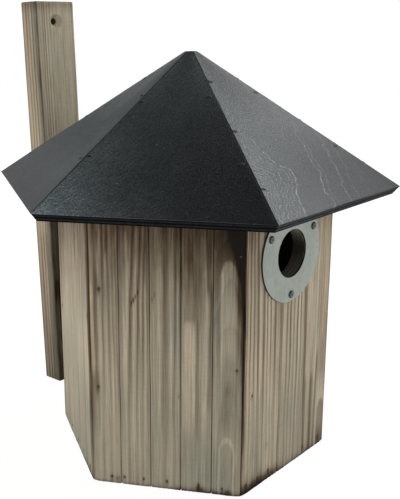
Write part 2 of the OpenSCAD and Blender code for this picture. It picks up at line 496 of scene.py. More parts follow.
def some_flame(seed):
    """Where the torch passed over an unseen wall: a band under the eaves, dark corners
    and foot, and a few longer licks."""
    draw = np.random.default_rng(seed)
    licks = [
        (u, z, draw.uniform(3, 10), draw.uniform(20, 60), draw.uniform(0.1, 0.35))
        for u, z in zip(draw.uniform(-50, 50, 7), draw.uniform(20, 215, 7))
    ]
    edges = [(-52, 120, 1.7, 90, 0.8), (52, 130, 1.7, 80, 0.8), (0, 212, 100, 34, 0.42)]
    return edges + [(draw.uniform(-40, 0), -2, 22, 5, 0.9), (30, -2, 40, 3, 0.6)] + licks


def some_bands(seed, k):
    """Light and dark lines by turns across stave k of an unseen wall."""
    draw = np.random.default_rng(seed)
    bands, lean = {"light": [], "dark": []}, draw.uniform(-3, 3)
    middle = (k - 2.5) * stave_w / MM + 1
    while middle < (k - 1.5) * stave_w / MM - 1:
        gap = draw.uniform(1.5, 2.6)
        for kind, foot in (("light", middle), ("dark", middle + gap)):
            bands[kind].append((foot, foot + lean, draw.uniform(0.6, 1.3), draw.uniform(0.3, 0.8)))
        middle, lean = middle + gap + draw.uniform(1.5, 3), lean * draw.uniform(0.7, 1)
    return bands


# The two walls beside the entrance corner and the one behind them, as they were built.
front_left_boards = [
    some_board(
        11, pith_u=-118, pith_d=30, sway=0.3, bend=1, warm=0.2, fade=0.3, deep=(0.93, 0.92, 0.9),
        light=[
            (-44.9, -42.9, 0.9, 0.7), (-40.0, -39.8, 0.8, 0.6), (-36.2, -36.5, 0.8, 0.6),
            (-33.4, -33.8, 0.6, 0.4),
        ],
        dark=[
            (-49.9, -49.9, 2.4, 1.1, 36, 82), (-47.4, -47.4, 1.3, 1.0, 64, 150),
            (-47.2, -47.0, 1.4, 0.8, 140, 260), (-43.2, -41.3, 0.7, 0.85), (-37.6, -38.3, 0.8, 0.8),
            (-34.4, -35.2, 0.6, 0.7), (-32.2, -32.7, 0.6, 0.5),
        ],
        tan=[(-49.6, -49.4, 0.9, 0.9, 82, 140), (-49.4, -49.4, 0.9, 0.6, 132, 260)],
    ),
    some_board(
        12, pith_u=-140, pith_d=24, sway=0.3, bend=2.4, warm=0.05, fade=0.35, deep=(0.87, 0.88, 0.84),
        light=[
            (-27.5, -21.6, 1.3, 0.8), (-21.8, -16.8, 0.8, 0.75), (-17.9, -13.2, 0.7, 0.6),
            (-13.9, -11.3, 0.7, 0.6),
        ],
        dark=[
            (-25.6, -19.4, 1.0, 1.0), (-20.0, -14.8, 0.8, 1.0), (-16.2, -12.0, 0.7, 0.9),
            (-12.5, -11.0, 0.6, 0.7), (-30.4, -30.2, 0.7, 0.5),
        ],
    ),
    some_board(
        13, pith_u=120, pith_d=35, sway=0.3, bend=1.5, warm=-0.3, fade=0.35, deep=(0.88, 0.94, 0.84),
        light=[(-3.4, -3.4, 0.9, 0.5), (4.2, 4.6, 0.9, 0.7), (7.7, 8.3, 0.7, 0.55)],
        dark=[
            (-1.6, -0.2, 1.6, 0.85), (5.7, 6.8, 0.8, 0.95), (10.0, 9.6, 0.8, 0.8),
            (-8.9, -8.7, 0.5, 0.35), (-6.2, -6.0, 0.5, 0.25),
        ],
    ),
    some_board(
        14, pith_u=130, pith_d=22, sway=0.3, bend=1, warm=-0.1, fade=0.4, deep=(0.88, 0.86, 0.84),
        light=[(26.0, 27.6, 1.2, 0.7, 60, 160), (26.2, 26.2, 1.4, 0.7, -40, 66)],
        dark=[
            (15.0, 14.6, 2.8, 0.25, 121, 260), (19.6, 19.4, 2.6, 0.45, 119, 260),
            (12.6, 12.6, 1.6, 0.5, -40, 66), (17.4, 17.2, 1.0, 0.4, -40, 60),
            (20.6, 21.2, 0.9, 0.75, 40, 121), (28.0, 30.4, 1.0, 0.8, 64, 148),
            (28.0, 28.2, 0.9, 0.2, -40, 74), (30.6, 26.6, 1.0, 0.8, 142, 260),
        ],
        tan=[(15.8, 15.6, 3.4, 0.42, 46, 117)],
        tongues=[(15.8, 122.5, 3.6, 46, 0.6, 0.2)],
    ),
    some_board(
        15, pith_u=42, pith_d=9, lean_u=0, lean_d=0.16, ring_w=4.2, sway=0.3, bend=1, warm=-0.35,
        lines=0.25, fade=0.5, deep=(0.86, 0.76, 0.9),
        light=[(33.6, 33.8, 0.9, 0.5, 30, 104)],
        dark=[
            (40.0, 40.4, 3.2, 0.5, 44, 100), (34.6, 34.6, 1.4, 0.15, 102, 260),
            (46.6, 46.2, 0.7, 0.5, 10, 120),
        ],
        tongues=[
            (41.5, 165, 5.3, 84, 0.42, 2), (37.1, 158, 0.9, 100, 0.3, 2), (41.2, 43, 5.6, -20, 0.5, 2),
            (41.2, 39, 4.1, -20, -0.62, 2),
        ],
    ),
]
front_left_flame = [
    (0, 204, 200, 58, 0.64), (49, 183, 10.5, 22, 0.95), (50.8, 158, 3.2, 50, 0.84),
    (51, 182, 4, 24, 0.8), (52, 80, 1.9, 60, 0.9), (17, 160, 5, 34, 0.14), (34, 132, 2.2, 36, 0.16),
    (29.4, 140, 1.5, 55, 0.12), (47, 144, 1.6, 30, 0.25), (34, 174, 2.6, 13, 0.16),
    (42, 178.5, 0.7, 0.8, 0.4), (44.4, 177.8, 0.7, 0.7, 0.4), (46.6, 179.4, 0.8, 0.6, 0.4),
    (23, 128, 5, 22, 0.1), (-51.8, 110, 1.7, 110, 0.8), (10.4, 165, 0.8, 45, 0.15),
    (9, 70, 0.8, 0.9, 0.5), (16.5, 77, 0.7, 0.9, 0.4), (-22.4, 132.4, 0.5, 1.8, 0.6),
    (-21, 134.8, 0.6, 1.8, 0.8), (-19.6, 137.2, 0.5, 1.8, 0.6), (-18, 140.4, 0.5, 2, 0.45),
    (-8.6, 136, 0.5, 2, 0.35), (-7, 139.5, 0.5, 2, 0.3), (42, 77, 3.2, 6, 0.16), (40, 58, 5, 9, 0.1),
    (36.5, 66, 3, 16, 0.08), (0, 0, 90, 3, 0.15), (-34, 4, 2.2, 1.6, 0.4), (23, 3, 3, 1.8, 0.5),
    (42, 3, 3, 2, 0.4), (36, 0, 22, 3.2, 0.45), (10, 1, 3, 2.2, 0.3),
]
front_boards = [
    some_board(
        21, pith_u=-150, pith_d=20, sway=0.25, bend=1, warm=0.3, fade=0.3, lines=0.5,
        deep=(1.0, 1.13, 0.92),
        light=[
            (-46.1, -46.9, 0.9, 0.6), (-42.4, -43.8, 0.9, 0.6), (-37.0, -41.2, 0.8, 0.7),
            (-29.9, -36.0, 1.1, 0.9), (-26.6, -28.2, 0.8, 0.7), (-21.6, -25.2, 0.8, 0.75),
            (-17.8, -22.4, 0.7, 0.7), (-12.2, -17.0, 0.9, 0.65),
        ],
        dark=[
            (-44.4, -45.4, 0.8, 1.1), (-39.0, -42.4, 0.8, 1.2), (-34.0, -38.8, 1.1, 1.3),
            (-28.4, -31.8, 0.9, 1.4), (-23.4, -28.0, 0.6, 1.0), (-19.8, -24.0, 0.7, 1.0),
            (-15.0, -19.0, 1.1, 1.2), (-10.2, -11.6, 1.1, 0.8, 60, 260),
            (-13.4, -14.4, 0.7, 0.4, 60, 260),
        ],
        tan=[(-49.4, -49.2, 0.7, 0.6, 60, 260)],
    ),
    some_board(
        22, pith_u=-160, pith_d=30, sway=0.25, bend=1, warm=0.25, fade=0.45, lines=0.45,
        deep=(0.88, 1.02, 1.06),
        light=[
            (-4.6, -5.0, 1.1, 0.55), (0.0, -1.4, 0.7, 0.5), (4.2, 3.8, 0.8, 0.6), (8.2, 8.4, 0.8, 0.6),
            (13.2, 12.8, 0.9, 0.8), (19.2, 13.2, 0.9, 0.6), (26.4, 26.8, 2.2, 0.6),
            (30.4, 31.0, 1.8, 0.45, 80, 260), (34.0, 36.4, 1.2, 0.8),
        ],
        dark=[
            (-2.0, -3.2, 0.8, 0.9), (-8.6, -8.6, 0.9, 0.6), (2.1, 1.0, 0.8, 1.1),
            (6.0, 6.2, 0.7, 0.95), (10.2, 10.8, 0.9, 1.1), (16.6, 12.6, 0.7, 1.0, -40, 130),
            (22.4, 17.2, 1.4, 1.4), (22.6, 21.2, 1.6, 1.2, -40, 60), (45.6, 45.0, 3.4, 0.5, 56, 104),
            (31.2, 28.4, 1.6, 2.0, -40, 60), (31.4, 31.6, 1.0, 0.4, 52, 92),
            (36.4, 39.2, 0.9, 1.4, -40, 76), (41.0, 41.4, 2.4, 0.5, 54, 260),
        ],
        tan=[(44.0, 44.0, 4.0, 0.5, 84, 260)],
        tongues=[
            (44.4, 60, 6.4, -20, 0.3, 2.6), (44.8, 46, 5.6, -20, 0.3, 2.4),
            (45.4, 37, 4.6, -20, -1.25, 2.4),
        ],
    ),
]
front_flame = [
    (-51.6, 110, 3.1, 110, 1.1), (-46, 210, 8, 34, 0.3), (-38, 0, 22, 5.6, 1.05),
    (-38, 6, 2.5, 6, 0.18), (-31, 6, 3, 7, 0.22), (-45, 7, 2, 7, 0.15), (-16, 3, 8, 4, 0.3),
    (-34, 9, 20, 6, 0.06), (-23, 27, 1.4, 2.2, 0.25), (30.5, 30, 2, 22, 0.12), (20, 0, 45, 5, 0.28),
    (26, 6, 8, 9, 0.08), (46, 6, 8, 9, 0.3), (31, 8, 1.6, 12, 0.25), (0, 200, 200, 36, 0.3),
    (51.8, 70, 0.8, 90, 0.3),
]
back_left_boards = [
    some_board(
        31 + k, pith_u=150, ring_w=1.6, sway=0.3, warm=0, lines=0.07, relief=0.4, deep=(0.71, 1.04, 0.98)
    )
    for k in range(staves_n)
]
# This wall's band under the eaves and its darker top left, beside the batten, are painted shade of the
# eave and the batten; its corners and foot are char.
back_left_flame_and_shade = [
    (0, 192, 200, 54, 0.48), (-46, 168, 20, 40, 0.25), (-49, 122, 12, 26, 0.2),
    (48.8, 90, 2.4, 90, 0.7), (52, 120, 1.6, 90, 0.6), (-50, 20, 4, 20, 0.3), (40, 0, 16, 4, 0.5),
]

# Small wire nails hold the boards to the floor, with a few more higher up. Each wall's
# list gives their places u and z; rain has drawn a dark stain out of each.
front_left_nails = [
    (-38, 5), (-29, 5.7), (-15.5, 5.7), (0.9, 5.7), (22.5, 5.7), (38.6, 5.2),
    (-44.1, 141), (-46.1, 71.5), (48.3, 168), (47, 91.5),
]
front_nails = [(-46, 6), (-33, 6), (-20, 6.5), (23, 6), (44, 6), (-41.3, 70.5)]
spare_nails = [(-41, 5.5), (-20, 6), (1, 5.4), (20.5, 6.1), (41.5, 5.6), (-45, 96), (46, 120)]


def stains(nails):
    """Strokes for the stains round nails: one round the head, one run below it."""
    return [(u, z, 1.1, 1.4, 0.5) for u, z in nails] + [(u, z - 2, 0.8, 2.6, 0.18) for u, z in nails]


wall_nails = [front_nails] + [spare_nails] * 4 + [front_left_nails]
wall_pieces = []
for face in range(1, 6):
    side = FACES[face]
    boards = [
        some_board(100 + seed, **some_bands(160 + seed, k))
        for k, seed in enumerate(range(7 * face, 7 * face + staves_n))
    ]
    flame_and_shade = some_flame(200 + face)
    if side == "front_left":
        boards, flame_and_shade = front_left_boards, front_left_flame
    if side == "back_left":
        boards, flame_and_shade = back_left_boards, back_left_flame_and_shade
    for k, board in enumerate(boards):
        node = f"{side}_stave_{k + 1}"
        piece = raise_timber(f"{node}_timber", face, k, k + 1, board)
        dress_timber(piece, face, board, flame_and_shade + stains(wall_nails[face]))
        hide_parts(node)
        wall_pieces.append(piece)

# ---------------------------------------------------------------- front wall
# Two wider boards make the front wall. The round entrance was drilled through both with
# a 33 mm bit, and its bore's wood is dark, darkest at its sides and lightest at its top.
plate_low, plate_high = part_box("entrance_plate")
hole_x = (plate_low.x + plate_high.x) / 2
hole_z = (plate_low.z + plate_high.z) / 2
plate_r = (plate_high.x - plate_low.x) / 2
plate_t = plate_high.y - plate_low.y
plate_x, _, plate_z = corners("entrance_plate").T
hole_r = np.hypot(plate_x - hole_x, plate_z - hole_z).min()
bit_steps = 96
bit = [((0.6 * n - 12) * MM, hole_r) for n in range(24)]


def cut_out(piece, cutter):
    """Takes the cutter's solid out of the piece, then drops the cutter."""
    cut = piece.modifiers.new("cut", "BOOLEAN")
    cut.object = cutter
    cut.operation = "DIFFERENCE"
    cut.solver = "EXACT"
    bpy.context.view_layer.update()
    whole = piece.evaluated_get(bpy.context.evaluated_depsgraph_get())
    mesh = bpy.data.meshes.new_from_object(whole)
    piece.modifiers.clear()
    piece.data = mesh
    bpy.data.objects.remove(cutter)


def drill(piece, centre, along, profile):
    """Cuts a turned hole out of a piece. The profile lists how far along the direction
    each ring of the cutter lies, rising, and its radius there."""
    turn = np.linspace(0, 2 * math.pi, bit_steps, endpoint=False)[:, None]
    side = np.cross(along, (1, 0, 0))
    side = side / np.linalg.norm(side)
    ring = np.cos(turn) * side + np.sin(turn) * np.cross(along, side)
    steps, radius = np.array(profile).T[:, :, None, None]
    cut_out(piece, put_sleeve("cutter", np.array(centre) + steps * np.array(along) + radius * ring))


for node, first, last, board in (
    ("front_board_left", 0, 6, front_boards[0]),
    ("front_board_right", 6, 5, front_boards[1]),
):
    piece = raise_timber(f"{node}_timber", 0, first, last, board)
    drill(piece, (hole_x, -wall_out, hole_z), (0, -1, 0), bit)
    x, y, z = read_points(piece).T
    bored = np.hypot(x - hole_x, z - hole_z) < hole_r + 0.01 * MM
    rise = (z - hole_z) / hole_r
    # How light the bore's wood is: darkest at its sides, lightest at its top.
    bore_lightness = (0.2 + np.where(rise > 0, 1.9, 1.2) * rise**2) * (1 + 0.4 * slow_wave(y, 0.0026, 29))
    dress_timber(piece, 0, board, front_flame + stains(front_nails), bored, bore_lightness)
    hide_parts(node)
    wall_pieces.append(piece)

for piece in wall_pieces:
    piece.data.materials.clear()
    piece.data.materials.append(wall_pine)
    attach(piece, "root")

# ---------------------------------------------------------------- wall nails
# The heads of the wire nails stand just below the wall's face, dark and a little rusty.
head_steps = 14
nail_sunk = 0.14 * MM


def stud_field(name, places, profile, oval=1.0):
    """Many small turned heads as one piece. The places are rows of a point and the
    direction that its head faces; the profile lists radius and height above the point,
    outside first; an oval head is narrower one way, in that proportion."""
    points, out = np.moveaxis(places, 1, 0)[:, :, None]
    radius, height = np.array(profile).T[:, :, None, None] * MM
    turn = np.linspace(0, 2 * math.pi, head_steps, endpoint=False)[:, None]
    side = np.cross(out, (0.3, 0.2, 1))
    side = side / np.linalg.norm(side, axis=-1, keepdims=True)
    spoke = np.cos(turn) * side + np.sin(turn) * oval * np.cross(out, side)
    grid = points[:, None] + radius * spoke[:, None] + height * out[:, None]
    quads, ends = sleeve_faces(len(profile), head_steps)
    first = np.arange(len(places)) * len(profile) * head_steps
    quads = (quads + first[:, None, None]).reshape(-1, 4)
    return put_mesh(name, grid, quads, [end + n for n in first for end in ends])


def nail_finish(name, rim_tone, pit_shade_tone):
    """A punched nail: a pale or rusty rim, and a dark pit where the head sits, painted as the shade in the
    hole.
    """
    f = Finish(name)
    grain = f.noise((2500, 2500, 2500), 3, 0.7)
    tone = f.blend(f.field("rim"), pit_shade_tone, rim_tone)
    f.set("Base Color", f.shade(tone, f.grade(grain, 0.3, 0.7, 0.6, 1.3)))
    f.set("Roughness", 0.7)
    f.set("Specular IOR Level", 0.3)
    f.bump(grain, 0.05 * MM, 0.4)
    return f.material


nail_places = []
for face, places in enumerate(wall_nails):
    for u, z in places:
        place = np.array([(u * MM, nail_sunk - wall_out, z * MM), (0, -1, 0)])
        nail_places.append(turn_to_face(place, face))
wall_head = [(0.8, -0.7), (0.8, -0.02), (0.72, 0.05), (0.4, 0.09), (0.05, 0.1)]
nails = stud_field("wall_nails", np.array(nail_places), wall_head)
# The head's sides and edge are black, painted as the shade where it sits in the wood; its top is rusty.
set_field(nails, "rim", np.tile(np.repeat([0, 0, 0.3, 1, 1], head_steps), len(nail_places)))
nails.data.materials.append(nail_finish("rusty_nail", (0.055, 0.036, 0.025, 1), (0.006, 0.004, 0.003, 1)))
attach(nails, "root")

# ---------------------------------------------------------------- floor
# A six-cornered board let in between the walls, flush with their ends. It is plain sawn
# pine, and shows only from below and through the entrance.
def sawn_finish(name, light, dark, scale):
    """Plain sawn pine without fields of its own: rings as wavy bands about a far pith,
    fine fibres along X, and faint saw marks across them."""
    f = Finish(name)
    bands = f.add("ShaderNodeTexWave", {
        "Vector": f.place(scale), "Scale": 1.0, "Distortion": 3.0, "Detail": 3.0,
        "Detail Scale": 1.2,
    }, 1, bands_direction="Y", wave_profile="SAW")
    fibres = f.noise((30, 900, 900), 4, 0.6)
    tone = f.blend(f.math("POWER", bands, 2.2), light, dark)
    tone = f.shade(tone, f.grade(fibres, 0.3, 0.7, 0.85, 1.1))
    f.set("Base Color", tone)
    f.set("Roughness", 0.8)
    f.bump(fibres, 0.3 * MM, 0.5)
    return f.material


floor_pine = sawn_finish("sawn_pine", (0.50, 0.38, 0.25, 1), (0.30, 0.20, 0.12, 1), (6, 38, 6))
frame["nodes"]["floor"].data.materials.clear()
frame["nodes"]["floor"].data.materials.append(floor_pine)

# ---------------------------------------------------------------- roof plates
# Six mitred plates of birch plywood in a thin matt black stain. The veneer was peeled
# from the log, so its grain lines wander over the plate like a map's contours.
roof_t = (eave_z - eave_low_z) / math.cos(pitch)
plies_n = 5
mitre_gap = 0.3 * MM
mitre_worn = 0.12 * MM
top_waves = 0.1 * MM
ply_edge_worn = 0.18 * MM
plate_arris_r = 0.35 * MM
plate_columns = 121


def plate_outline():
    """Cross-section of a plate on its centre line, as a, z and the kind of surface: down
    the slope, round the upper arris, in along the plies' edges, back up the underside."""
    down = np.array([math.cos(pitch), -math.sin(pitch)])
    out = np.array([math.sin(pitch), math.cos(pitch)])
    eave = np.array([eave_a, eave_z])
    slope_l = (eave_a - peak_flat_a) / math.cos(pitch)
    top = eave - np.linspace(slope_l, plate_arris_r, 96)[:, None] * down
    turn = np.linspace(0, math.pi / 2, 6)[1:, None]
    arris = eave - plate_arris_r * ((1 - np.sin(turn)) * down + (1 - np.cos(turn)) * out)
    depth = np.linspace(plate_arris_r, roof_t - 0.5 * MM, 34)[1:, None]
    groove = ply_edge_worn * (0.5 + 0.5 * np.cos(depth / roof_t * plies_n * 2 * math.pi)) ** 2
    edge = eave - depth * out - groove * down
    lip = eave - roof_t * out
    under_s = np.linspace(6 * MM, (lip[0] - 0.3 * MM) / math.cos(pitch), 24)
    under = lip - np.append(0.5 * MM, under_s)[:, None] * down
    crown = [(0.3 * MM, peak_z - 1e-6), (peak_flat_a * 0.6, peak_z - 1e-6)]
    a, z = np.concatenate([top, arris, edge, under, crown]).T
    return a, z, np.repeat([0, 1, 2, 0], (len(top) + len(arris), len(edge), len(under), len(crown)))


# How light the stain is painted at a plate's left mitre, its middle and its right mitre, at 15,
# 50, 80 and 100 hundredths of the way out, and in the same way how smooth it is. The
# lightness is painted sheen and reflection, with some chalky wear.
wear_and_sheen_stain = {
    "back_left": ((4.6, 3.8, 0.5), (3.4, 2.9, 2.2), (1.1, 1.5, 1.8), (0.7, 0.8, 1.0)),
    "front_left": ((2.1, 1.1, 2.6), (1.35, 0.8, 0.55), (3.2, 0.7, 0.23), (7.8, 1.0, 0.19)),
    "front": ((1.8, 0.9, 1), (3.8, 1.2, 2), (3.9, 1.1, 0.9), (3.3, 0.95, 0.8)),
}
worn_gloss = {
    "front_left": ((1, 1, 1), (1, 1.5, 2), (1, 1.7, 3.4), (1, 1.7, 3.4)),
    "front": ((0.9, 0.75, 1.5), (1.15, 1.5, 1.2), (1.6, 0.92, 0.64), (3.4, 1.05, 0.53)),
}

# Where the veneer's lines lie, in mm at 118 mm down the plate, and how plainly each shows.
# They crowd at its left, where each has a nose that points right; those at its right lean
# to the left as they run down. The lists below have their lean at distances down.
veneer_lines = np.array([
    -60, -56, -52, -49, -46, -42.5, -39, -34, -30.5, -27, -23, -19, 6.5, 11, 28.5, 38, 52,
])
veneer_plain = [0.6, 0.5, 0.7, 0.4, 0.8, 0.4, 0.6, 0.75, 0.35, 0.55, 0.4, 1, 0.6, 0.2, 0.4, 0.15, 0.1]
veneer_down = [0, 60, 83, 92, 101, 108, 113, 118, 124, 132, 140, 146, 152]
veneer_nose = [30, 16, 13, 12, 11, 10, 6, 0, 3, 12, 18, 22, 26]
veneer_lean = [-60, -32, -18.5, -11.5, -9.5, -5, -1.5, 0, 2, 7, 15, 15, 19]


def table_at(table, side, a, s):
    """Value of a side's table at distance a from the centre and share s of the mitre's
    reach: in logarithms, straight lines between the rows, and from the middle to either
    mitre. A side that isn't in the table has 1 everywhere."""
    logs = np.log(table.get(side, np.ones((4, 3))))
    t = np.interp(a / eave_a, (0.15, 0.5, 0.8, 1), np.arange(4))
    row = np.clip(t.astype(int), 0, 2)
    part = (t - row)[..., None]
    left, middle, right = np.moveaxis((1 - part) * logs[row] + part * logs[row + 1], -1, 0)
    return np.exp(middle + np.abs(s) * (np.where(s < 0, left, right) - middle))


def raise_plate(name, face, side):
    """A roof plate: its outline carried sideways from mitre to mitre, with each point's
    sideways place its share s of the mitre's reach at that distance from the centre. The
    top is very slightly wavy, as thin plywood is. The veneer's lines are level lines of
    u plus the lean at that distance down, with small hills; the lean changes from the left
    lines' to the right ones' between them."""
    a, z, kind = plate_outline()
    s = np.linspace(-1, 1, plate_columns)[:, None]
    u = s * (a * TAN30 - mitre_gap / 2)
    a, z = a + 0 * u, z + 0 * u
    ease = np.clip((1 - np.abs(s)) / 0.04, 0, 1)
    worn = top_waves * (1 + blotch(u, a, 0.06, 300 + face))
    worn = worn + mitre_worn * (1 - np.sqrt(1 - (1 - ease) ** 2))
    z = z - np.where(kind == 0, worn, 0)
    piece = put_sleeve(name, turn_to_face(np.stack([u, -a, z], axis=-1), face))
    sawn = np.tile(np.maximum(kind, np.roll(kind, -1)) > 0, len(s) - 1)
    piece.data.polygons.foreach_set("material_index", np.append(sawn, [1, 1]).astype(np.int32))
    down = (a - peak_flat_a) / math.cos(pitch)
    hills = [
        height * blotch(u, down, width, seed + face)
        for height, width, seed in ((1.2, 0.03, 310), (1.1, 0.009, 320), (0.5, 0.0045, 330))
    ]
    right = ramp((u / MM + 0.5 * (down / MM - 118) + 16) / 14)
    nose, lean = (np.interp(down / MM, veneer_down, one) for one in (veneer_nose, veneer_lean))
    level = u / MM + (1 - right) * nose + right * lean + sum(hills)
    shown = ramp((down - 0.074) / 0.03) * np.interp(level, veneer_lines, veneer_plain)
    shown = shown * np.where(level > -10, right, 1 - right)
    knots = np.stack([veneer_lines - 1.4, veneer_lines], axis=1).ravel()
    front = side == "front"
    for field, values in (
        ("across", u),
        ("down", down),
        ("depth", (eave_z - z + (eave_a - a) * math.tan(pitch)) * math.cos(pitch)),
        ("ring", np.interp(level, knots, np.arange(len(knots)) / 2)),
        ("lines", shown * (0.04 if "left" in side else 1)),
        # Painted sheen: the tops' lightness from the table, and the front plate's edges and underside
        # lighter, as lit.
        ("sheen", np.where(kind > 0, 3.6 if front else 0.9, table_at(wear_and_sheen_stain, side, a, s))),
        ("gloss", table_at(worn_gloss, side, a, s)),
        ("coarse", 2 + 0.5 * ramp((-15 * MM - u) / 0.02) if front else 0.85 + 0 * u),
    ):
        set_field(piece, field, values)
    smooth_below(piece, 35)
    return piece


def stain_finish(name):
    """Black stain soaked into peeled veneer, with painted sheen on the crests of its lines.
    It is gritty with raised grain, darkest along the mitres, and has a broken painted
    highlight along the eave; the sheen field paints its sheen and reflection, with some wear."""
    f = Finish(name)
    across, down, ring, lines, sheen = map(f.field, ("across", "down", "ring", "lines", "sheen"))
    flat = f.add("ShaderNodeCombineXYZ", {0: across, 1: down})
    part = f.math("FRACT", ring)
    crest = f.times(f.grade(part, 0.1, 0.4), f.grade(part, 0.5, 0.46))
    grit = f.noise((860, 740, 1), 3, 0.75, flat)
    slant = {0: f.math("SUBTRACT", down, across), 1: f.math("ADD", down, across)}
    pores = f.noise((110, 760, 1), 3, 0.7, f.add("ShaderNodeCombineXYZ", slant))
    clouds = f.noise((34, 26, 1), 4, 0.6, flat)
    broken = f.grade(f.noise((260, 220, 1), 3, 0.8, flat), 0.4, 0.56, 0.1, 1.15)
    crest = f.times(f.times(crest, lines), broken)
    tone = f.blend(f.grade(clouds, 0.35, 0.65), (0.0115, 0.0145, 0.0158, 1), (0.0195, 0.0238, 0.0252, 1))
    # The sheen field paints the plate's sheen and reflection into its colour, with some chalky wear.
    tone = f.shade(tone, f.times(sheen, f.grade(pores, 0.3, 0.7, 0.3, 1.75)))
    tone = f.shade(tone, f.grade(grit, 0.35, 0.65, 0.2, 1.9))
    # Painted sheen along the crests of the veneer's lines.
    tone = f.blend(f.times(crest, 0.8), tone, (0.32, 0.33, 0.33, 1))
    specks = f.grade(f.noise((330, 330, 1), 2, 0.5, flat), 0.735, 0.77, 0, 0.6)
    tone = f.blend(specks, tone, (0.2, 0.2, 0.2, 1))
    mitre = f.times(f.math("ADD", f.times(down, math.cos(pitch)), peak_flat_a), TAN30)
    mitre = f.math("SUBTRACT", mitre, f.math("ABSOLUTE", across))
    tone = f.shade(tone, f.grade(mitre, 0.3 * MM, 1.1 * MM, 0.25, 1))
    # A broken painted highlight along the eave's arris, stronger where the sheen field is.
    eave_glint = f.grade(f.noise((60, 60, 1), 4, 0.75, flat), 0.5, 0.6)
    eave_glint = f.times(eave_glint, f.grade(down, 0.1540, 0.1548))
    tone = f.blend(f.times(eave_glint, f.grade(sheen, 0.4, 2, 0.1, 1)), tone, (0.22, 0.225, 0.225, 1))
    f.set("Base Color", tone)
    rough = f.math("DIVIDE", f.grade(grit, 0.3, 0.7, 0.44, 0.68), f.math("POWER", f.field("gloss"), 0.3))
    f.set("Roughness", f.math("SUBTRACT", rough, f.times(crest, 0.1)))
    f.set("Specular IOR Level", 0.46)
    f.set("Specular Tint", (0.93, 0.99, 1, 1))
    grit = f.times(grit, f.field("coarse"))
    f.bump(f.math("ADD", grit, f.times(crest, 0.5)), 0.3 * MM, 0.9)
    return f.material


def ply_edge_finish(name):
    """The sawn edges and the underside, matt and soaked with stain: the edge's plies are
    dark where their grain ends and a little lighter where it runs along. The front
    plate's edges and underside are painted lighter, as lit by the lamps."""
    f = Finish(name)
    plies = f.math("FRACT", f.times(f.field("depth"), plies_n / roof_t / 2))
    tone = f.blend(f.grade(plies, 0.45, 0.55), (0.0035, 0.004, 0.0045, 1), (0.0145, 0.0152, 0.016, 1))
    saw = f.noise((500, 500, 500), 3, 0.7)
    # The sheen field paints the front plate's edges lighter, as lit.
    tone = f.shade(tone, f.times(f.field("sheen"), f.grade(saw, 0.3, 0.7, 0.6, 1.4)))
    f.set("Base Color", tone)
    f.set("Roughness", 0.9)
    f.set("Specular IOR Level", 0.02)
    f.bump(saw, 0.1 * MM, 0.4)
    return f.material


roof_stain = stain_finish("black_stained_plywood")
ply_edge = ply_edge_finish("stained_ply_edge")
for face, side in enumerate(FACES):
    node = f"{side}_roof_plate"
    piece = raise_plate(f"{node}_ply", face, side)
    piece.data.materials.append(roof_stain)
    piece.data.materials.append(ply_edge)
    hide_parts(node)
    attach(piece, "root")

# ---------------------------------------------------------------- roof nails
# Wire nails pin each plate to its neighbour's edge. They were punched at a slant below the
# surface, so each pit is oval; its black middle is painted shade, and its lip is light on one side.
left_inset, right_inset = 2.4 * MM, 4.6 * MM
ridge_nails = []
roof_out = (0, -math.sin(pitch), math.cos(pitch))
for face, side in enumerate(FACES):
    left_nails = (0.053, 0.104) if side == "front_left" else (0.032, 0.079, 0.127)
    for hand, downs, inset in ((-1, left_nails, left_inset), (1, (0.047, 0.107), right_inset)):
        for down in downs:
            a = peak_flat_a + down * math.cos(pitch)
            spot = (hand * (a * TAN30 - inset), -a, peak_z - down * math.sin(pitch))
            ridge_nails.append(turn_to_face(np.array([spot, roof_out]), face))
punched = [(2.0, -0.6), (2.0, 0), (1.85, 0.12), (1.6, 0.1), (1.55, 0.02), (0.1, 0.02)]
nails = stud_field("roof_nails", np.array(ridge_nails), punched, oval=0.55)
lip = 0.5 + 0.5 * np.cos(np.arange(head_steps) / head_steps * 2 * math.pi + 2.2)
# The head's middle is black, painted as the shade in its hole; its lip is light on one side.
set_field(nails, "rim", np.tile(np.outer([0, 0.3, 1, 0.8, 0, 0], lip**2).ravel(), len(ridge_nails)))
nails.data.materials.append(nail_finish("stained_nail", (0.24, 0.245, 0.245, 1), (0.003, 0.003, 0.003, 1)))
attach(nails, "root")

# ---------------------------------------------------------------- entrance plate
# A flat ring of galvanised steel that keeps beaks and claws from widening the entrance.
# Its rims are deburred, and three dome-headed screws hold it.
ring_steps = 144
ring_rim_r = 0.22 * MM
dirt_and_shade_h = 0.12 * MM


def turned(radius, height, centre, steps):
    """Points of a profile turned about the entrance's axis or a line beside it, a row for
    each place on the profile. Height points out of the front wall."""
    angle = np.linspace(0, 2 * math.pi, steps, endpoint=False)
    x = centre[0] + radius[:, None] * np.cos(angle)
    z = centre[1] + radius[:, None] * np.sin(angle)
    return np.stack([x, -wall_out - height[:, None] + 0 * angle, z], axis=-1)


def rounded(left, right, low, high, r):
    """A rectangle with its corners rounded to the radius r, as arrays of both its
    coordinates: four quarter circles, one after the other."""
    turn = np.arange(-1, 3)[:, None] * math.pi / 2 + np.linspace(0, math.pi / 2, 5)
    x = np.array([right - r, right - r, left + r, left + r])[:, None] + r * np.cos(turn)
    y = np.array([low + r, high - r, high - r, low + r])[:, None] + r * np.sin(turn)
    return x.ravel(), y.ravel()


ring_r, ring_h = rounded(hole_r, plate_r, 0, plate_t, ring_rim_r)
ring_grid = turned(ring_r, ring_h, (hole_x, hole_z), ring_steps)
plate = put_sleeve("entrance_plate_ring", ring_grid, ring=True)
# The ring's cut edges are painted dark, as the shade on them, with some dirt.
set_field(plate, "edge", np.repeat(ring_h < plate_t - dirt_and_shade_h, ring_steps))


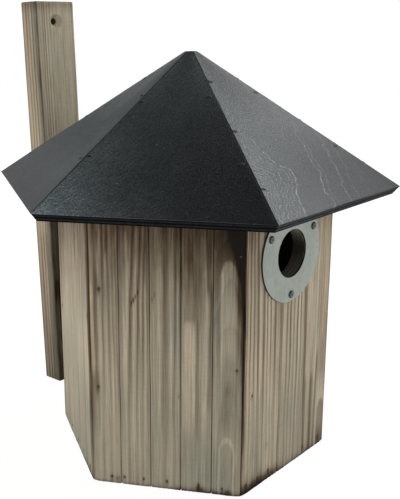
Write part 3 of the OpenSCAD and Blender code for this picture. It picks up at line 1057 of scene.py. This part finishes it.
def zinc_finish(name, base):
    """Weathered galvanising: a soft grey with faint clouds and fine spangle, and edges
    that are dark, partly with dirt and partly as painted shade."""
    f = Finish(name)
    edge = f.field("edge")
    clouds = f.noise((70, 70, 70), 4, 0.6)
    spangle = f.add("ShaderNodeTexVoronoi", {"Vector": f.place((420, 420, 420)), "Scale": 1.0}, 1)
    grey = f.add("ShaderNodeRGBToBW", {0: spangle})
    streaks = f.noise((260, 260, 60), 3, 0.7)
    tone = f.blend(f.grade(clouds, 0.3, 0.7), base, (*(1.14 * c for c in base[:3]), 1))
    tone = f.shade(tone, f.grade(grey, 0, 1, 0.93, 1.07))
    tone = f.shade(tone, f.grade(streaks, 0.3, 0.7, 0.93, 1.07))
    f.set("Base Color", f.blend(edge, tone, (0.012, 0.013, 0.012, 1)))
    f.set("Metallic", f.grade(edge, 0, 1, 0.55, 0))
    f.set("Roughness", f.grade(clouds, 0.3, 0.7, 0.46, 0.6))
    f.bump(f.noise((600, 600, 600), 3, 0.6), 0.05 * MM, 0.4)
    return f.material


zinc = zinc_finish("galvanised_steel", (0.285, 0.315, 0.278, 1))
plate.data.materials.append(zinc)
smooth_below(plate, 50)
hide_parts("entrance_plate")
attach(plate, "root")

# ---------------------------------------------------------------- plate screws
# Three zinc screws with low domed heads and a cross recess, driven by hand, so that the
# crosses stand at different angles. Dirt sits in the recesses, and round the heads is dirt
# with painted contact shade.
shank_r = 1.5 * MM
screw_steps = 40
brim = 0.35
dome = np.linspace(0, 1, 9)[1:]


def cross_cutter(centre, head_r, top, turn):
    """A plus-shaped cutter that tapers inwards: its outline steps round four arms, wide at
    the head's top and narrow at the bottom of the recess."""
    arm, half = 0.5 * head_r, 0.15 * head_r
    quarter = [arm - half * 1j, arm + half * 1j, half + half * 1j]
    outline = np.outer(np.exp(1j * (turn + np.arange(4) * math.pi / 2)), quarter).ravel()
    outline = outline * np.array([[0.45], [1.1]])
    y = -wall_out - top + np.array([[0.9 * MM], [-0.5 * MM]]) + 0 * outline.real
    grid = np.stack([centre[0] + outline.real, y, centre[1] + outline.imag], axis=-1)
    return put_sleeve("cutter", grid)


screw_zinc = zinc_finish("dull_zinc", (0.15, 0.155, 0.145, 1))
for k in (1, 2, 3):
    node = f"plate_screw_{k}"
    low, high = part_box(node)
    centre = ((low.x + high.x) / 2, (low.z + high.z) / 2)
    head_r = (high.x - low.x) / 2
    head_h = -wall_out - low.y - plate_t
    radius = np.append([shank_r, shank_r, head_r, head_r], head_r * np.cos(dome * 1.5))
    domed = head_h * np.append(brim, brim + (1 - brim) * np.sin(dome * math.pi / 2))
    height = plate_t + np.append([head_h - (high.y - low.y), 0, 0], domed)
    screw = put_sleeve(f"{node}_domed", turned(radius, height, centre, screw_steps))
    cut_out(screw, cross_cutter(centre, head_r, plate_t + head_h, 0.5 * k))
    x, y, z = read_points(screw).T
    far = np.hypot(x - centre[0], z - centre[1]) / head_r
    sunk = head_h * (brim + (1 - brim) * np.sqrt(np.clip(1 - far**2, 0, 1))) + wall_out + y + plate_t
    # Dark in the cross recess with dirt, and round the head's rim with dirt and painted contact shade.
    set_field(screw, "edge", np.maximum(ramp(sunk / dirt_and_shade_h - 0.5), ramp((far - 0.62) / 0.12)))
    screw.data.materials.append(screw_zinc)
    smooth_below(screw, 40)
    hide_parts(node)
    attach(screw, "root")

# ---------------------------------------------------------------- hanging batten
# A planed pine strip, wider than it is thick. It leans back a little with the tree that
# the box hung on. Its front arris is charred, and a countersunk hole near its upper end
# takes the screw that the box hangs on.
hang = next(m for m in frame["record"]["mounts"] if m["name"] == "hang_hole")
lean = math.atan2(hang["axis"][2], -hang["axis"][1])
batten_points = corners("hanging_batten")
lean_y = np.array([0, math.cos(lean), -math.sin(lean)])
lean_z = np.array([0, math.sin(lean), math.cos(lean)])
batten_front, batten_back = (batten_points @ lean_y).min(), (batten_points @ lean_y).max()
batten_foot, batten_head = (batten_points @ lean_z).min(), (batten_points @ lean_z).max()
batten_half = batten_points[:, 0].max()
batten_arris_r = 1.2 * MM
batten_board = some_board(
    41, pith_u=-70, pith_d=46, lean_u=0.01, ring_w=2.6, sway=0.2, bend=1, fade=1,
    light=[
        (-15.6, -15.6, 0.5, 0.5), (-13.2, -13.2, 0.5, 0.6), (-10.6, -10.6, 0.5, 0.5),
        (-7.8, -7.8, 0.5, 0.4), (13, 13, 2, 0.2),
    ],
    dark=[
        (-17, -16.6, 0.5, 0.6), (-14.4, -14.2, 0.5, 0.9), (-11.8, -12.0, 0.5, 0.9),
        (-9.2, -9.4, 0.5, 0.55), (-6.4, -6.4, 0.5, 0.4), (-3.6, -3.4, 0.4, 0.3),
        (-0.8, -0.6, 0.4, 0.2), (5, 6, 0.6, 0.25), (9, 9.4, 0.4, 0.25), (16.6, 16.6, 0.5, 0.4),
    ],
)
batten_side = some_board(
    42, sway=0.2, bend=1, fade=1,
    light=[(7.6, 7.8, 0.8, 0.7)],
    dark=[
        (12.6, 12.8, 0.7, 0.9), (9.2, 9.6, 0.6, 0.85), (6, 6, 0.6, 0.75), (17.0, 17.0, 0.7, 0.6),
        (3, 3, 2, 0.4),
    ],
    tan=[
        (14.6, 14.6, 1.2, 0.7), (11, 11, 0.9, 0.8), (4.4, 4.4, 0.8, 0.5, 200, 330),
        (11, 11, 6, 0.5, 140, 190), (9, 9, 3, 0.4, 50, 110),
    ],
)


def raise_bar(name, half_w, front, back, foot, head, r, y_axis, z_axis, step=0.5 * MM):
    """A straight bar: a rectangle with rounded corners in the X and y_axis directions,
    carried from foot to head along z_axis, its ends drawn in a little. Round its outline
    the points are no more than a step apart."""
    x, y = (np.append(part, part[0]) for part in rounded(-half_w, half_w, front, back, r))
    far = np.append(0, np.cumsum(np.hypot(np.diff(x), np.diff(y))))
    keep = np.unique(np.append(far[:-1], np.arange(0, far[-1], step)).round(7))[:-1]
    x, y = np.interp(keep, far, x), np.interp(keep, far, y)
    length = head - foot
    near = np.array([0, 0.15, 0.45, 1]) * MM
    t = np.concatenate([near, np.linspace(3 * MM, length - 3 * MM, 90), length - near[::-1]])[:, None]
    end = np.minimum(t, length - t)
    draw_in = r - np.sqrt(np.clip(r**2 - np.clip(r - end, 0, r) ** 2, 0, None))
    middle = (front + back) / 2
    x = x * (1 - draw_in / half_w)
    y = middle + (y - middle) * (1 - draw_in / (back - middle))
    grid = np.stack([x, y, foot + t + 0 * x], axis=-1) @ np.array([(1, 0, 0), y_axis, z_axis])
    return put_sleeve(name, grid)


batten = raise_bar(
    "hanging_batten_timber", batten_half, batten_front, batten_back,
    batten_foot, batten_head, batten_arris_r, lean_y, lean_z,
)
hang_at = (np.array(hang["pos_m"]) @ lean_z) * lean_z + batten_front * lean_y
hang_r = hang["dims"]["r_mm"] * MM
sink_deep = batten_back - batten_front - hang["dims"]["length_mm"] * MM
drill(batten, hang_at, lean_y, [
    (-0.002, hang_r + sink_deep + 0.002), (sink_deep / 2, hang_r + sink_deep / 2),
    (sink_deep - 0.4 * MM, hang_r + 0.4 * MM), (sink_deep, hang_r), (0.012, hang_r), (0.03, hang_r),
])
points = read_points(batten)
across, in_deep, along = points[:, 0], points @ lean_y - batten_front, points @ lean_z
side_on = ramp((1.1 * MM - batten_half - across) / (0.5 * MM))
front_on = ramp((0.6 * MM - in_deep) / (0.5 * MM)) * (1 - side_on)
arris = np.exp(-(((across + batten_half) / (1.3 * MM)) ** 2) - (in_deep / (2.2 * MM)) ** 2)
below_eave = ramp((0.2 - along) / 0.03)
on_front = {
    "warm": -0.3,
    # The front is painted darker below the eave, as the shade of the eave and the box.
    "deep": np.interp(along, (0, 0.19, 0.22, 0.28, 0.32), (0.6, 0.6, 1.38, 1.38, 1.2)),
}
on_side = {
    "warm": np.interp(in_deep / MM, (0, 5, 9, 19), (-1, -0.8, 0.6, 0.9)),
    "deep": np.interp(along, (0, 0.06, 0.13, 0.22, 0.32), (0.37, 0.49, 0.74, 0.9, 0.7)),
}
for kind in ("light", "dark", "tan"):
    on_front[kind] = bands_at(across, along, batten_board, kind)
    on_side[kind] = bands_at(in_deep, along, batten_side, kind)
fields = {name: (1 - side_on) * on_front[name] + side_on * on_side[name] for name in on_front}
fields["warm"] += 0.2 * blotch(across, along, 0.08, 46)
fields["ring"] = ring_place(across, wall_out - in_deep, along, batten_board)
fields["lines"] = 0.2 + 0 * along
# Char on the front arris and the ends, with painted shade on the front: below the eave, under the upper
# spacer and near the foot.
char_and_shade = arris * (0.36 + 0.14 * slow_wave(along, 0.11, 47)) + front_on * below_eave * 0.32
char_and_shade = char_and_shade + front_on * strokes_at(across, along, [(0, 92, 60, 9, 0.5), (-8, 20, 30, 22, 0.3)])
char_and_shade = char_and_shade + ramp((along - 0.3222) / 0.002) * 0.25 + ramp((0.03 - along) / 0.03) * 0.2
bore = np.hypot(across, along - hang_at @ lean_z)
# The bore's wall is painted dark, as the shade in the hole.
char_and_shade = np.maximum(char_and_shade, np.where(bore < hang_r + 1e-5, 0.6, 0))
fields["singe_and_shade"] = np.clip(char_and_shade, 0, 1.1)
for name, values in fields.items():
    set_field(batten, name, values)
smooth_below(batten, 40)
batten.data.materials.append(wall_pine)
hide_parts("hanging_batten")
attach(batten, "root")

# ---------------------------------------------------------------- spacers
# Two brown sawn offcuts between the back wall and the batten keep it clear of the eave.
# Their backs are planed to the batten's lean.
spacer_pine = sawn_finish("weathered_offcut", (0.30, 0.20, 0.125, 1), (0.15, 0.095, 0.06, 1), (60, 60, 9))
spacer_gap = 0.1 * MM
spacer_arris_r = 0.8 * MM
for node in ("lower_spacer", "upper_spacer"):
    low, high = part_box(node)
    piece = raise_bar(
        f"{node}_offcut", high.x, wall_out + spacer_gap, high.y, low.z, high.z,
        spacer_arris_r, (0, 1, 0), (0, 0, 1), step=1.5 * MM,
    )
    points = read_points(piece)
    depth = (batten_front - points[:, 2] * lean_z[1]) / lean_y[1] - spacer_gap - wall_out
    points[:, 1] = wall_out + (points[:, 1] - wall_out) / (high.y - wall_out) * depth
    piece.data.vertices.foreach_set("co", points.astype(np.float32).ravel())
    smooth_below(piece, 40)
    piece.data.materials.append(spacer_pine)
    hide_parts(node)
    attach(piece, "root")

# ---------------------------------------------------------------- floor and light
# A pale studio floor, a broad soft light at the right that grazes the roof, a dimmer one
# beside it, another at the left behind the box, and light all round that fades overhead.
line = np.linspace(-6, 6, 25)
at = np.arange(line.size**2).reshape(line.size, -1)
quads = np.stack([at[:-1, :-1], at[:-1, 1:], at[1:, 1:], at[1:, :-1]], axis=-1).reshape(-1, 4)
ground = put_mesh("studio_floor", np.stack(np.meshgrid(line, line, 0), axis=-1), quads)
paper = Finish("studio_paper")
paper.set("Base Color", (0.15, 0.15, 0.15, 1))
paper.set("Roughness", 0.9)
paper.set("Emission Color", (1, 1, 1, 1))
paper.set("Emission Strength", 0.92)
ground.data.materials.append(paper.material)


lamp_w = 1.3
lamp_away = 1.8
box_middle = Vector((0, 0, 0.16))


def softbox(name, azimuth, elevation, power):
    """A square area light in the given direction from the middle of the box, facing it."""
    lamp_data = bpy.data.lights.new(name, "AREA")
    lamp_data.size = lamp_w
    lamp_data.energy = power
    lamp = bpy.data.objects.new(name, lamp_data)
    away = direction(azimuth, elevation)
    place = Matrix.Translation(box_middle + lamp_away * away)
    lamp.matrix_world = place @ away.to_track_quat("Z", "Y").to_matrix().to_4x4()
    bpy.context.scene.collection.objects.link(lamp)


softbox("right_softbox", 90, 40, 19)
softbox("front_right_softbox", 60, 50, 6)
softbox("left_softbox", 235, 30, 12.5)
world = bpy.data.worlds.new("studio")
world.use_nodes = True
nodes, links = world.node_tree.nodes, world.node_tree.links
all_round = nodes.new("ShaderNodeTexCoord")
split = nodes.new("ShaderNodeSeparateXYZ")
falloff = nodes.new("ShaderNodeMapRange")
for socket, value in (("From Min", 0.1), ("From Max", 0.8), ("To Min", 1.08), ("To Max", 0.0)):
    falloff.inputs[socket].default_value = value
links.new(all_round.outputs["Generated"], split.inputs[0])
links.new(split.outputs["Z"], falloff.inputs["Value"])
links.new(falloff.outputs["Result"], nodes["Background"].inputs["Strength"])
nodes["Background"].inputs["Color"].default_value = (1, 1, 1, 1)
bpy.context.scene.world = world
bpy.context.scene.view_settings.view_transform = "Standard"
